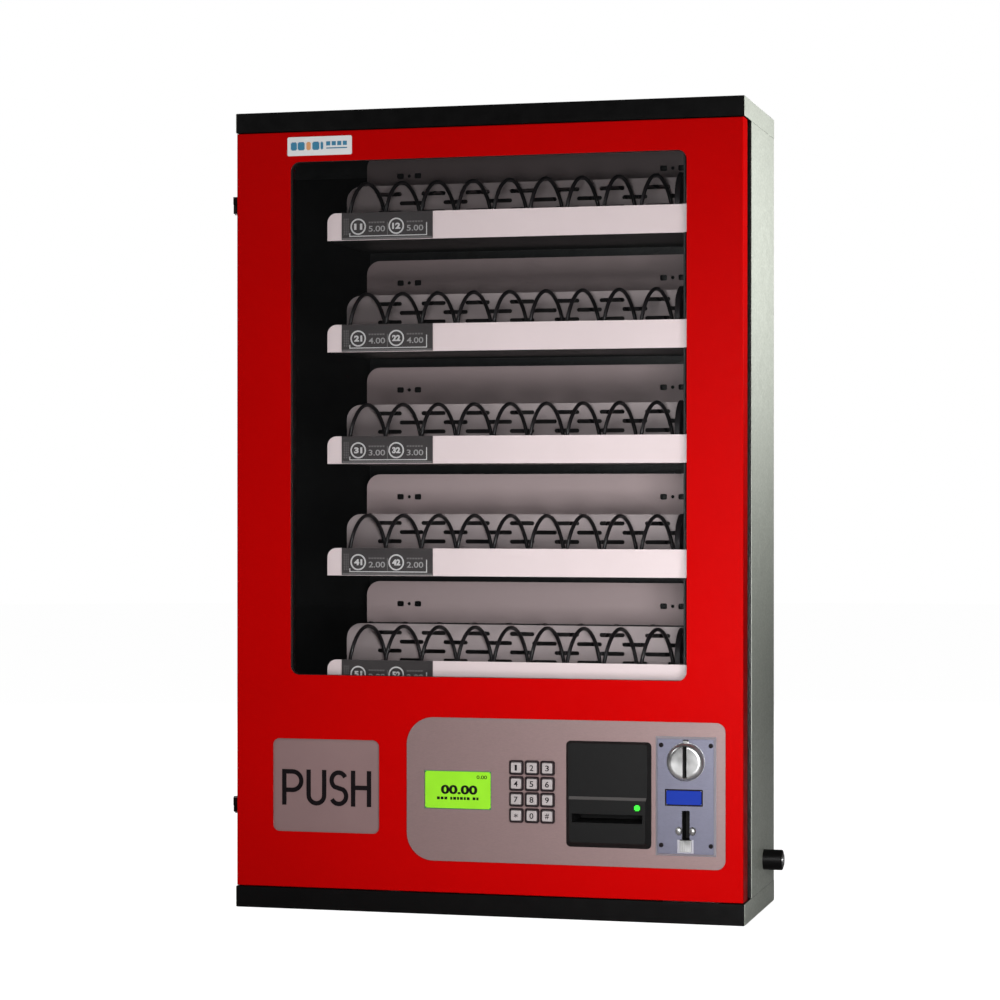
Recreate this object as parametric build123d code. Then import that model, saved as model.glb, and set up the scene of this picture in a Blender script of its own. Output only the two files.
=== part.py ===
from build123d import *
import os

# Wall-mounted snack vending machine with five shelves of two sideways spirals.
# Millimetres. Origin: centre of the wall bolt pattern on the back face.
# +X to the right seen from the front, -Y out of the front, +Z up.

# ---- driving dimensions ----
WIDTH = 570.0
DEPTH = 200.0
TOP_Z = 440.0
BASE_Z = -440.0
SHEET = 2.0
CAP_UNDER_Z = 418.5
BASE_OVER_Z = -417.0
HALF_W = WIDTH / 2
INNER_X = HALF_W - SHEET
FRONT_Y = -DEPTH
NECK_BACK_Y = -152.0
NECK_X = 273.0
NECK_WALL = 8.0
DOOR_X = 284.0
DOOR_Z = (-416.0, 417.5)
DOOR_THICK = 25.5
DOOR_BACK_Y = FRONT_Y + DOOR_THICK
DOOR_INNER_Y = FRONT_Y + SHEET
WALL_BOLT_X = 160.0
WALL_BOLT_Z = 400.0
WALL_BOLT_R = 4.5

WINDOW = (-221.5, 223.0, -181.5, 384.5)
WINDOW_R = 10.0
FLAP = (-242.0, -119.0, -354.7, -252.0)
FLAP_R = 7.5
FLAP_AXIS = (-194.0, -248.0)
FLAP_PIN_R = 2.0
PANEL = (-87.0, 265.0, -381.3, -225.3)
PANEL_Y = FRONT_Y - 1.5

SHELF_X = (-189.0, 214.0)
SHELF_TOPS = (330.0, 206.0, 82.0, -42.0, -166.0)
LIP_H = 30.5
LIP_Y = -168.0
DIVIDER_Y = -97.0
BACKPLATE_Y = -20.0
LANE_Y = (-132.0, -57.9)
COIL_R = 30.9
WIRE_R = 1.8
WIRE_SIDES = 10
COIL_PITCH = 41.3
COIL_START_X = -174.0
COIL_LENGTH = 380.0
COIL_RISE = 5.4
HUB_X = 203.0
MOTOR_PANEL_X = (214.0, 216.0)

KEY_X = (36.9, 54.3, 71.5)
KEY_Z = (-277.5, -294.8, -311.8, -329.2)
KEY_RING = 15.7
KEY_HOLE = 12.2
BILL = (91.7, 185.2, -361.4, -247.3)
BILL_FACE = (96.9, 180.0, -355.4, -250.6)
BILL_SLOT = (99.7, 176.8, -334.0, -324.8)
COIN = (189.9, 255.3, -367.4, -240.5)
COIN_Y = PANEL_Y - 3.0
KNOB = (222.9, -267.0)
KNOB_R = 19.9

HINGE_X = -289.4
HINGE_Y = -182.0
KNUCKLE_R = 4.8
HINGE_PIN_R = 2.0
HINGE_Z = ((331.0, 348.0), (-336.5, -319.5))
LOCK_Y = -70.0
LOCK_Z = -385.4
LOCK_R = 11.2
PLUG_R = 7.0
RUN_GAP = 0.05
CAM_X = (255.5, 258.0)


# ---- helpers ----
def block(x0, x1, y0, y1, z0, z1):
    """Box between two corners."""
    centre = ((x0 + x1) / 2, (y0 + y1) / 2, (z0 + z1) / 2)
    return Pos(*centre) * Box(x1 - x0, y1 - y0, z1 - z0)


def plate(rect, y0, y1, radius=0.0, grow=0.0):
    """Upright plate with the outline (x0, x1, z0, z1), from y0 to y1."""
    x0, x1, z0, z1 = rect
    wide = x1 - x0 + 2 * grow
    high = z1 - z0 + 2 * grow
    outline = RectangleRounded(wide, high, radius + grow) if radius else Rectangle(wide, high)
    plane = Plane(origin=((x0 + x1) / 2, y1, (z0 + z1) / 2), x_dir=(1, 0, 0), z_dir=(0, -1, 0))
    return plane * extrude(outline, amount=y1 - y0)


def rod_x(radius, x0, x1, y, z):
    """Round bar along X."""
    return Plane(origin=(x0, y, z), z_dir=(1, 0, 0)) * extrude(Circle(radius), amount=x1 - x0)


def rod_y(radius, y0, y1, x, z):
    """Round bar along Y."""
    return Plane(origin=(x, y0, z), z_dir=(0, 1, 0)) * extrude(Circle(radius), amount=y1 - y0)


def rod_z(radius, z0, z1, x, y):
    """Round bar along Z."""
    return Pos(x, y, z0) * extrude(Circle(radius), amount=z1 - z0)


def wall_bolt_places():
    """The four holes that hang the cabinet."""
    return [(sx * WALL_BOLT_X, sz * WALL_BOLT_Z) for sx in (-1, 1) for sz in (-1, 1)]


# ---- cabinet ----
def cabinet_shell():
    """Folded sides and back, with front returns that carry the neck."""
    shell = block(-HALF_W, HALF_W, NECK_BACK_Y, 0, BASE_OVER_Z, CAP_UNDER_Z)
    shell -= block(-INNER_X, INNER_X, NECK_BACK_Y, -SHEET, BASE_OVER_Z, CAP_UNDER_Z)
    return_x = NECK_X - NECK_WALL
    for side in (-1, 1):
        x0, x1 = sorted((side * return_x, side * INNER_X))
        shell += block(x0, x1, NECK_BACK_Y, NECK_BACK_Y + SHEET, BASE_OVER_Z, CAP_UNDER_Z)
    for x, z in wall_bolt_places():
        shell -= rod_y(WALL_BOLT_R, -SHEET, 0, x, z)
    shell -= rod_x(LOCK_R - 1.5, INNER_X, HALF_W, LOCK_Y, LOCK_Z)
    return shell


def cap(z_out, z_open, open_side):
    """Pan that closes the cabinet's top or bottom, open towards the cabinet."""
    low, high = sorted((z_out, z_open))
    pan = block(-HALF_W, HALF_W, FRONT_Y, 0, low, high)
    pan = fillet(pan.edges().filter_by(Axis.Z), 1.5)
    inner_low = low if open_side < 0 else low + SHEET
    inner_high = high if open_side > 0 else high - SHEET
    pan -= block(-INNER_X, INNER_X, FRONT_Y + SHEET, -SHEET, inner_low, inner_high)
    return pan


INLET = (150.0, 198.0, -50.0, -22.0)


def top_cap():
    """Black cap over the whole depth, flush with the door."""
    return cap(TOP_Z, CAP_UNDER_Z, -1)


def base_cap():
    """Black base pan, with the hole for the power inlet."""
    x0, x1, y0, y1 = INLET
    return cap(BASE_Z, BASE_OVER_Z, 1) - block(x0, x1, y0, y1, BASE_Z, BASE_Z + SHEET)


def front_frame():
    """Set-back black neck between the cabinet and the door."""
    outer = (-NECK_X, NECK_X, DOOR_Z[0], DOOR_Z[1])
    return plate(outer, DOOR_BACK_Y + 1, NECK_BACK_Y) - plate(
        outer, DOOR_BACK_Y + 1, NECK_BACK_Y, grow=-NECK_WALL)


def coil_z(row):
    """Height of a shelf's spiral axes."""
    return SHELF_TOPS[row] + COIL_RISE


def motor_panel():
    """Wall at the right ends of the shelves, with a hole for each spiral shaft."""
    x0, x1 = MOTOR_PANEL_X
    wall = block(x0, x1, -170, -SHEET, SHELF_TOPS[-1] - LIP_H - 4, 409)
    for row in range(5):
        for y in LANE_Y:
            wall -= rod_x(6, x0, x1, y, coil_z(row))
    return wall


def spiral_motor(row, lane):
    """Gear motor behind the motor panel, with a bore for the spiral's shaft."""
    x = MOTOR_PANEL_X[1]
    y = LANE_Y[lane]
    z = coil_z(row)
    gearbox = block(x, x + 28, y - 21, y + 21, z - 19, z + 19)
    gearbox = fillet(gearbox.edges().filter_by(Axis.X), 3)
    motor = gearbox + rod_x(13, x + 28, x + 52, y, z - 4)
    return motor - rod_x(4 + RUN_GAP, x, x + 15, y, z)


def spiral_motors():
    """Ten identical gear motors."""
    return Compound([spiral_motor(row, lane) for row in range(5) for lane in range(2)])


# ---- shelves ----
def back_mark(x, z):
    """Two short slots with a dot between, cut in the plate behind the products."""
    y0 = BACKPLATE_Y
    y1 = BACKPLATE_Y + 1.5
    cut = rod_y(2, y0, y1, x, z)
    for side in (-1, 1):
        slot_x = x + side * 10.5
        cut += plate((slot_x - 4, slot_x + 4, z - 3.2, z + 3.2), y0, y1, radius=1.6)
    return cut


def shelf(row):
    """Folded tray: front lip, floor and a back plate with one rounded corner each."""
    x0, x1 = SHELF_X
    top = SHELF_TOPS[row]
    low = top - LIP_H
    lip = block(x0, x1, LIP_Y, LIP_Y + 1.5, low, top)
    lip = fillet(lip.edges().filter_by(Axis.Y).sort_by(lambda e: e.center().X - e.center().Z)[0], 10.5)
    floor = block(x0, x1, LIP_Y, -SHEET, low, low + 1)
    back = block(x0, x1, BACKPLATE_Y, BACKPLATE_Y + 1.5, low, top + 83)
    back = fillet(back.edges().filter_by(Axis.Y).sort_by(lambda e: e.center().X - e.center().Z)[0], 16)
    for x in (-138.0, 172.8):
        back -= back_mark(x, top + 57)
    return lip + floor + back


def lane_divider(row):
    """Slotted wall between the front and the back lane of a shelf."""
    x0 = SHELF_X[0]
    top = SHELF_TOPS[row] + 37.3
    low = SHELF_TOPS[row] - LIP_H + 1
    wall = block(x0, SHELF_X[1], DIVIDER_Y, DIVIDER_Y + 1.2, low, top)
    wall = fillet(wall.edges().filter_by(Axis.Y).sort_by(lambda e: e.center().X - e.center().Z)[0], 17)
    period = 51.5
    for line in range(4):
        first = -138.1 if line % 2 == 0 else -138.1 + period / 2
        z = top - 10 - 10.35 * line
        for k in range(7):
            x = first + period * k
            slot = (x - 14.2, x + 14.2, z - 2.3, z + 2.3)
            wall -= plate(slot, DIVIDER_Y, DIVIDER_Y + 1.2, radius=2.2)
    return wall


def lane_dividers():
    """One divider on each shelf."""
    return Compound([lane_divider(row) for row in range(5)])


def price_labels():
    """Label strip at the left end of each lip."""
    strips = []
    for top in SHELF_TOPS:
        strips.append(block(-172, -67, LIP_Y - 1, LIP_Y, top - LIP_H + 0.5, top))
    return Compound(strips)


def spiral(row, lane):
    """Left-handed wire spiral on a hub disc and a drive shaft; the back one starts half a turn on."""
    y = LANE_Y[lane]
    z = coil_z(row)
    down = -1 if lane == 0 else 1
    start = Plane(origin=(COIL_START_X, y, z), x_dir=(0, 0, down), z_dir=(1, 0, 0))
    path = Helix(COIL_PITCH, COIL_LENGTH, COIL_R, lefthand=True)
    section = RegularPolygon(WIRE_R * 1.03, WIRE_SIDES)
    wire = start * sweep((path ^ 0) * section, path=path, is_frenet=True)
    hub = rod_x(COIL_R + WIRE_R + 0.3, HUB_X, HUB_X + 6, y, z)
    hub += rod_x(14, HUB_X + 6, HUB_X + 9, y, z)
    hub += rod_x(4, HUB_X + 9, MOTOR_PANEL_X[1] + 14, y, z)
    return wire + hub


# ---- lower compartment ----
BIN_X = (-281.0, -105.0)
BIN_Z = (-364.0, -242.0)
BIN_MOUTH_X = -264.0
BIN_MOUTH_Y = -172.0


def drop_chute():
    """Black liner of the shaft at the left, down which the products fall."""
    z0 = -238.0
    z1 = 388.0
    side = block(-INNER_X, -INNER_X + 1.5, -150, -SHEET, z0, z1)
    back = block(-INNER_X, -190.5, -SHEET - 1.5, -SHEET, z0, z1)
    return side + back


def delivery_bin():
    """Bin behind the flap, open to the shaft above and to the flap in front."""
    x0, x1 = BIN_X
    z0, z1 = BIN_Z
    y0 = NECK_BACK_Y + SHEET + 0.5
    y1 = -4.0
    body = block(x0, x1, y0, y1, z0, z1)
    body += block(BIN_MOUTH_X, x1, BIN_MOUTH_Y, y0, z0, z1)
    body -= block(x0 + SHEET, x1 - SHEET, y0 + SHEET, y1 - SHEET, z0 + SHEET, z1)
    body -= block(BIN_MOUTH_X + SHEET, x1 - SHEET, BIN_MOUTH_Y, y0 + SHEET, z0 + SHEET, z1)
    body += block(BIN_MOUTH_X, x1, BIN_MOUTH_Y, BIN_MOUTH_Y + SHEET, z0, z0 + 5)
    body += block(-190, x1, BIN_MOUTH_Y, y1, z1 - SHEET, z1)
    body += block(-190, -188, BIN_MOUTH_Y, y1, z1, SHELF_TOPS[-1] - LIP_H - 1.5)
    return body


def coin_box():
    """Open cash box under the coin validator, standing in the base pan."""
    outer = block(186, 250, -148, -76, BASE_Z + SHEET, -380)
    outer = fillet(outer.edges().filter_by(Axis.Z), 4)
    return outer - block(188, 248, -146, -78, BASE_Z + 2 * SHEET, -380)


def controller_board():
    """Main circuit board on four stand-offs."""
    board = block(-60, 90, -12, -10.4, -335, -235)
    for x in (-54, 84):
        for z in (-329, -241):
            board += rod_y(3, -10.4, -SHEET, x, z)
    return board


def power_supply():
    """Enclosed supply on the back wall."""
    box = block(50, 140, -52, -SHEET, -405, -345)
    return fillet(box.edges().filter_by(Axis.Y), 2)


def power_inlet():
    """Mains inlet in the base, its socket open downwards."""
    x0, x1, y0, y1 = INLET
    floor = BASE_Z + SHEET
    body = block(x0, x1, y0, y1, BASE_Z, floor)
    body += block(x0 - 6, x1 + 6, y0 - 2, y1 + 2, floor, floor + 2)
    body += block(158, 190, y0 + 3, y1 - 3, floor + 2, BASE_Z + 20)
    return body - block(161.5, 186.5, -44.4, -27.6, BASE_Z, BASE_Z + 17)


# ---- door ----
def door_shell():
    """Red pan door with its window, flap, payment and keypad openings."""
    outline = (-DOOR_X, DOOR_X, DOOR_Z[0], DOOR_Z[1])
    door = plate(outline, FRONT_Y, DOOR_BACK_Y)
    front = door.faces().sort_by(Axis.Y)[0]
    door = fillet(front.edges(), 1.2)
    door -= plate(outline, DOOR_INNER_Y, DOOR_BACK_Y - SHEET, grow=-SHEET)
    door -= plate(outline, DOOR_BACK_Y - SHEET, DOOR_BACK_Y, grow=-16)
    door -= plate(WINDOW, FRONT_Y, DOOR_INNER_Y, radius=WINDOW_R)
    door -= plate(FLAP, FRONT_Y, DOOR_INNER_Y, radius=FLAP_R)
    door -= plate((-68, 9.2, -325.6, -282), FRONT_Y, DOOR_INNER_Y)
    door -= plate((28, 80.5, -338.5, -268), FRONT_Y, DOOR_INNER_Y)
    door -= plate((96, 180, -357, -252), FRONT_Y, DOOR_INNER_Y)
    door -= plate((196, 250, -364.5, -243.4), FRONT_Y, DOOR_INNER_Y)
    y, z = FLAP_AXIS
    for x0 in (-249.5, -115.5):
        ear = block(x0, x0 + 4, DOOR_INNER_Y, y + 5, z - 5, z + 5)
        door += ear - rod_x(FLAP_PIN_R + RUN_GAP, x0, x0 + 4, y, z)
    return door


def window_gasket():
    """Black frame that holds the pane against the inside of the door skin."""
    ring = plate(WINDOW, DOOR_INNER_Y, DOOR_INNER_Y + 8, radius=WINDOW_R, grow=5)
    ring -= plate(WINDOW, DOOR_INNER_Y, DOOR_INNER_Y + 8, radius=WINDOW_R)
    return ring - plate(WINDOW, DOOR_INNER_Y + 2, DOOR_INNER_Y + 6, radius=WINDOW_R, grow=2.5)


def window_glass():
    """Clear pane in the gasket's groove."""
    return plate(WINDOW, DOOR_INNER_Y + 2, DOOR_INNER_Y + 6, radius=WINDOW_R, grow=2)


def control_panel():
    """Grey steel plate around the display, the keys and the payment units."""
    x0, x1, z0, z1 = PANEL
    panel = block(x0, x1, PANEL_Y, FRONT_Y, z0, z1)
    corners = panel.edges().filter_by(Axis.Y)
    panel = fillet(corners.sort_by(Axis.X)[:2], 30)
    corners = panel.edges().filter_by(Axis.Y).sort_by(Axis.X)
    panel = fillet(corners[-2:], 10)
    panel -= plate((-67, 8.2, -324.6, -283), PANEL_Y, FRONT_Y)
    panel -= plate((96, 180, -357, -252), PANEL_Y, FRONT_Y)
    panel -= plate((196, 250, -364.5, -243.4), PANEL_Y, FRONT_Y)
    half = KEY_HOLE / 2
    for x in KEY_X:
        for z in KEY_Z:
            panel -= plate((x - half, x + half, z - half, z + half), PANEL_Y, FRONT_Y)
    return panel


def lcd_module():
    """Display block on the board that also carries the key switches."""
    board = block(-74, 86, -189, -187.4, -342, -262)
    display = block(-66.8, 8, PANEL_Y + 0.8, -189, -324.4, -283.2)
    for x in (-70.5, 83):
        for z in (-338, -266):
            display += rod_y(2.5, DOOR_INNER_Y, -189, x, z)
    return board + display


def key_bezels():
    """Twelve square collars on the panel, one around each key."""
    rings = []
    for x in KEY_X:
        for z in KEY_Z:
            outer = KEY_RING / 2
            hole = KEY_HOLE / 2
            ring = plate((x - outer, x + outer, z - outer, z + outer), PANEL_Y - 2.8, PANEL_Y, radius=2.4)
            ring = chamfer(ring.faces().sort_by(Axis.Y)[0].edges(), 0.6)
            rings.append(ring - plate((x - hole, x + hole, z - hole, z + hole), PANEL_Y - 2.8, PANEL_Y))
    return Compound(rings)


def key(column, row):
    """Key cap with a retaining flange behind the panel and a stem to its switch."""
    x = KEY_X[column]
    z = KEY_Z[row]
    cap_front = PANEL_Y - 4.4
    face = (x - 5.7, x + 5.7, z - 5.5, z + 5.5)
    button = plate(face, cap_front, -199.5, radius=1.4)
    button = fillet(button.faces().sort_by(Axis.Y)[0].edges(), 0.9)
    button += plate((x - 7.2, x + 7.2, z - 7.2, z + 7.2), -199.5, -198.2)
    return button + plate((x - 2.5, x + 2.5, z - 2.5, z + 2.5), -198.2, -191)


def upright(rect, y, radius):
    """Rounded rectangle that faces the front at depth y."""
    x0, x1, z0, z1 = rect
    plane = Plane(origin=((x0 + x1) / 2, y, (z0 + z1) / 2), x_dir=(1, 0, 0), z_dir=(0, -1, 0))
    return plane * RectangleRounded(x1 - x0, z1 - z0, radius)


def bill_bezel():
    """Drafted nose of the bill acceptor, its lower half prouder, with the bill slot."""
    low_y = PANEL_Y - 8
    high_y = low_y + 2.4
    top = BILL[3]
    nose = loft([upright(BILL, PANEL_Y, 5), upright(BILL_FACE, low_y, 3)])
    above = Polyline((low_y - 1, top), (high_y, top), (high_y, -306.6), (low_y, -309.2), (low_y - 1, -309.2), close=True)
    nose -= Pos(BILL[0], 0, 0) * extrude(Plane.YZ * make_face(above), amount=BILL[1] - BILL[0])
    return nose - plate(BILL_SLOT, low_y - 2, PANEL_Y)


def bill_validator():
    """Reader box behind the bezel, with the note path running through its front."""
    body = plate((97, 179, -356, -253), PANEL_Y, -120, radius=3)
    body += plate((92, 184, -362, -247), DOOR_INNER_Y, DOOR_INNER_Y + 3)
    return body - plate(BILL_SLOT, PANEL_Y, -165)


def coin_plate():
    """Bevelled front plate of the coin acceptor."""
    face = plate(COIN, COIN_Y, PANEL_Y)
    face = chamfer(face.faces().sort_by(Axis.Y)[0].edges(), 2.4)
    x, z = KNOB
    face -= rod_y(KNOB_R + 0.8, COIN_Y, PANEL_Y, x, z)
    face -= plate((x - 3.2, x + 3.2, z + KNOB_R, z + KNOB_R + 3.6), COIN_Y, PANEL_Y)
    face -= plate((200.4, 241.4, -314.2, -296.2), COIN_Y, COIN_Y + 1.2, radius=1)
    face -= plate((218.6, 227.2, -351, -318.9), COIN_Y, PANEL_Y, radius=1)
    return face - plate((213.6, 231.4, -364.4, -349.8), COIN_Y, PANEL_Y)


def coin_button():
    """Domed reject knob with the coin slot through it."""
    x, z = KNOB
    knob = rod_y(KNOB_R, COIN_Y - 7, PANEL_Y, x, z)
    knob = fillet(knob.faces().sort_by(Axis.Y)[0].edges(), 5.5)
    knob += plate((x - 2.4, x + 2.4, z + KNOB_R - 4, z + KNOB_R + 2.6), COIN_Y - 2.2, PANEL_Y, radius=1)
    knob += rod_y(KNOB_R + 2.2, PANEL_Y, FRONT_Y + 0.4, x, z)
    return knob - plate((x - 2.2, x + 2.2, z - 17, z + 17), COIN_Y - 7, FRONT_Y + 0.4)


def coin_validator():
    """Coin mechanism behind its plate, with the coin path, return pocket and rest."""
    x, z = KNOB
    body = plate((197, 249, -363.5, -243), DOOR_INNER_Y, -140, radius=2)
    body += plate((192, 251, -368, -241), DOOR_INNER_Y, DOOR_INNER_Y + 2.5)
    body -= rod_y(KNOB_R + 3.4, DOOR_INNER_Y, DOOR_INNER_Y + 4, x, z)
    body -= plate((x - 2.2, x + 2.2, z - 17, z + 17), DOOR_INNER_Y, -175)
    body -= plate((218.6, 227.2, -351, -318.9), DOOR_INNER_Y, -180)
    return body + plate((216.2, 228.8, -362.8, -350.6), COIN_Y + 0.5, DOOR_INNER_Y)


def push_flap():
    """Delivery flap, hung from stub shafts along its top edge."""
    y, z = FLAP_AXIS
    x0, x1, z0, _ = FLAP
    panel = plate((x0 - 3, x1 + 3, z0 - 3, z), DOOR_INNER_Y + 0.3, DOOR_INNER_Y + 2.8)
    corners = panel.edges().filter_by(Axis.Y).sort_by(Axis.Z)
    panel = fillet(corners[:2], 6)
    barrel = rod_x(3, x0 - 3, x1 + 3, y, z)
    shafts = rod_x(FLAP_PIN_R, x0 - 7, x1 + 7, y, z)
    return panel + barrel + shafts


# ---- hinges ----
def hinge_split(low, high):
    """Height at which the cabinet's knuckle meets the door's."""
    return (low + high) / 2


def hinge_leaf_cabinet(low, high):
    """Lower knuckle with a strap along the cabinet's side."""
    top = hinge_split(low, high) - 0.2
    leaf = rod_z(KNUCKLE_R, low, top, HINGE_X, HINGE_Y)
    leaf += block(HINGE_X, -HALF_W, HINGE_Y - KNUCKLE_R + 2, -118, low, top)
    return leaf - rod_z(HINGE_PIN_R + RUN_GAP, low, top, HINGE_X, HINGE_Y)


def hinge_leaf_door(low, high):
    """Upper knuckle with a strap on the door's edge."""
    base = hinge_split(low, high) + 0.2
    leaf = rod_z(KNUCKLE_R, base, high, HINGE_X, HINGE_Y)
    leaf += block(HINGE_X, -DOOR_X, FRONT_Y + 3, HINGE_Y, base, high)
    return leaf - rod_z(HINGE_PIN_R + RUN_GAP, base, high, HINGE_X, HINGE_Y)


def hinge_pin(low, high):
    """Headed pin through both knuckles."""
    return rod_z(HINGE_PIN_R, low, high - 1, HINGE_X, HINGE_Y) + rod_z(
        HINGE_PIN_R + 1.2, low - 1.5, low, HINGE_X, HINGE_Y)


# ---- lock ----
def lock_barrel():
    """Fixed cylinder of the side lock."""
    barrel = rod_x(LOCK_R, HALF_W, HALF_W + 21, LOCK_Y, LOCK_Z)
    barrel = fillet(barrel.faces().sort_by(Axis.X)[-1].edges(), 1.5)
    barrel += rod_x(LOCK_R - 1.7, CAM_X[1] + 2, HALF_W, LOCK_Y, LOCK_Z)
    barrel += rod_x(LOCK_R + 1.5, INNER_X - 4, INNER_X, LOCK_Y, LOCK_Z)
    return barrel - rod_x(PLUG_R, CAM_X[1] + 2, HALF_W + 21, LOCK_Y, LOCK_Z)


def lock_plug():
    """Turning plug with the key slot in its face."""
    plug = rod_x(PLUG_R - RUN_GAP, CAM_X[1], HALF_W + 22, LOCK_Y, LOCK_Z)
    face = HALF_W + 22
    return plug - block(face - 12, face, LOCK_Y - 0.9, LOCK_Y + 0.9, LOCK_Z - 3.6, LOCK_Z + 3.6)


def lock_cam():
    """Hooked cam on the plug, standing up when the lock is open."""
    x0, x1 = CAM_X
    arm = block(x0, x1, LOCK_Y - 6, LOCK_Y + 6, LOCK_Z - 6, LOCK_Z + 44)
    hook = block(x0, x1, LOCK_Y - 18, LOCK_Y - 6, LOCK_Z + 38, LOCK_Z + 44)
    cam = arm + hook
    return fillet(cam.edges().filter_by(Axis.X).sort_by(Axis.Z)[:2], 4)


def lock_strike():
    """Bracket on the door whose tooth the cam hooks behind."""
    low = -399.5
    foot = block(252, 266, DOOR_INNER_Y, DOOR_INNER_Y + 2, low, -370)
    arm = block(252, 254, DOOR_INNER_Y, -103, low, -374)
    tooth = block(252, 260, -106, -103, low, -394)
    return foot + arm + tooth


# ---- write one file for each named part ----
NODES = {
    "cabinet_shell": cabinet_shell,
    "top_cap": top_cap,
    "base_cap": base_cap,
    "front_frame": front_frame,
    "motor_panel": motor_panel,
    "spiral_motors": spiral_motors,
    "lane_dividers": lane_dividers,
    "price_labels": price_labels,
    "drop_chute": drop_chute,
    "delivery_bin": delivery_bin,
    "coin_box": coin_box,
    "controller_board": controller_board,
    "power_supply": power_supply,
    "power_inlet": power_inlet,
    "door_shell": door_shell,
    "window_gasket": window_gasket,
    "window_glass": window_glass,
    "control_panel": control_panel,
    "lcd_module": lcd_module,
    "key_bezels": key_bezels,
    "bill_bezel": bill_bezel,
    "bill_validator": bill_validator,
    "coin_plate": coin_plate,
    "coin_button": coin_button,
    "coin_validator": coin_validator,
    "push_flap": push_flap,
    "hinge_leaves_cabinet": lambda: Compound([hinge_leaf_cabinet(*span) for span in HINGE_Z]),
    "hinge_leaves_door": lambda: Compound([hinge_leaf_door(*span) for span in HINGE_Z]),
    "hinge_pins": lambda: Compound([hinge_pin(*span) for span in HINGE_Z]),
    "lock_barrel": lock_barrel,
    "lock_plug": lock_plug,
    "lock_cam": lock_cam,
    "lock_strike": lock_strike,
}

KEY_NAMES = (("1", "2", "3"), ("4", "5", "6"), ("7", "8", "9"), ("star", "0", "hash"))


def all_shapes():
    """Every node's name and shape."""
    shapes = {name: make() for name, make in NODES.items()}
    for row in range(5):
        shapes[f"tray_{row + 1}"] = shelf(row)
        for lane in range(2):
            shapes[f"spiral_{row + 1}{lane + 1}"] = spiral(row, lane)
    for row, names in enumerate(KEY_NAMES):
        for column, name in enumerate(names):
            shapes[f"key_{name}"] = key(column, row)
    return shapes


os.makedirs("parts", exist_ok=True)
for node, shape in all_shapes().items():
    export_step(shape, f"parts/{node}.step")
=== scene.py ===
import math

import bmesh
import bpy
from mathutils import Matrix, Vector


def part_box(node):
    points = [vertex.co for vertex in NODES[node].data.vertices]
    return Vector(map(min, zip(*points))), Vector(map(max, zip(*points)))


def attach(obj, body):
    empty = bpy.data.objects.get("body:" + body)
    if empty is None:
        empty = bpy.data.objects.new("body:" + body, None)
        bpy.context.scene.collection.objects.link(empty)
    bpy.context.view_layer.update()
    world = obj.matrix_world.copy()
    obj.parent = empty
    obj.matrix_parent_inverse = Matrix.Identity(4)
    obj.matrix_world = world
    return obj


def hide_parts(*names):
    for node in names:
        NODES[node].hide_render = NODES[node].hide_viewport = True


# A wall-mounted snack vending machine: looks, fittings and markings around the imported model.
# Metres. +X to the right, -Y out of the front, +Z up. The origin is on the cabinet's back face.

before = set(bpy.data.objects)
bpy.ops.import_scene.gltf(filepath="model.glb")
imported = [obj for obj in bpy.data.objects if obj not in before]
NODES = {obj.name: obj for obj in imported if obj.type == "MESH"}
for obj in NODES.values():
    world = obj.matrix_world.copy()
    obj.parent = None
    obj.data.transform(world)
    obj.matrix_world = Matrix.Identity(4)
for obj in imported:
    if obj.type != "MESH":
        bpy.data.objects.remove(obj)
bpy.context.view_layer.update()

MM = 0.001
TAU = 2 * math.pi
ROWS = range(1, 6)
LANES = (1, 2)
KEY_NAMES = ("1", "2", "3", "4", "5", "6", "7", "8", "9", "star", "0", "hash")


def mm(low, high, start=0.0):
    """A range in metres, from two distances in millimetres past a start in metres."""
    return (start + low * MM, start + high * MM)


def lows(node):
    """Lowest corner of a CAD node."""
    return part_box(node)[0]


def highs(node):
    """Highest corner of a CAD node."""
    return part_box(node)[1]


def middle(node):
    """Centre of a CAD node's box."""
    low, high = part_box(node)
    return (low + high) / 2


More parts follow.
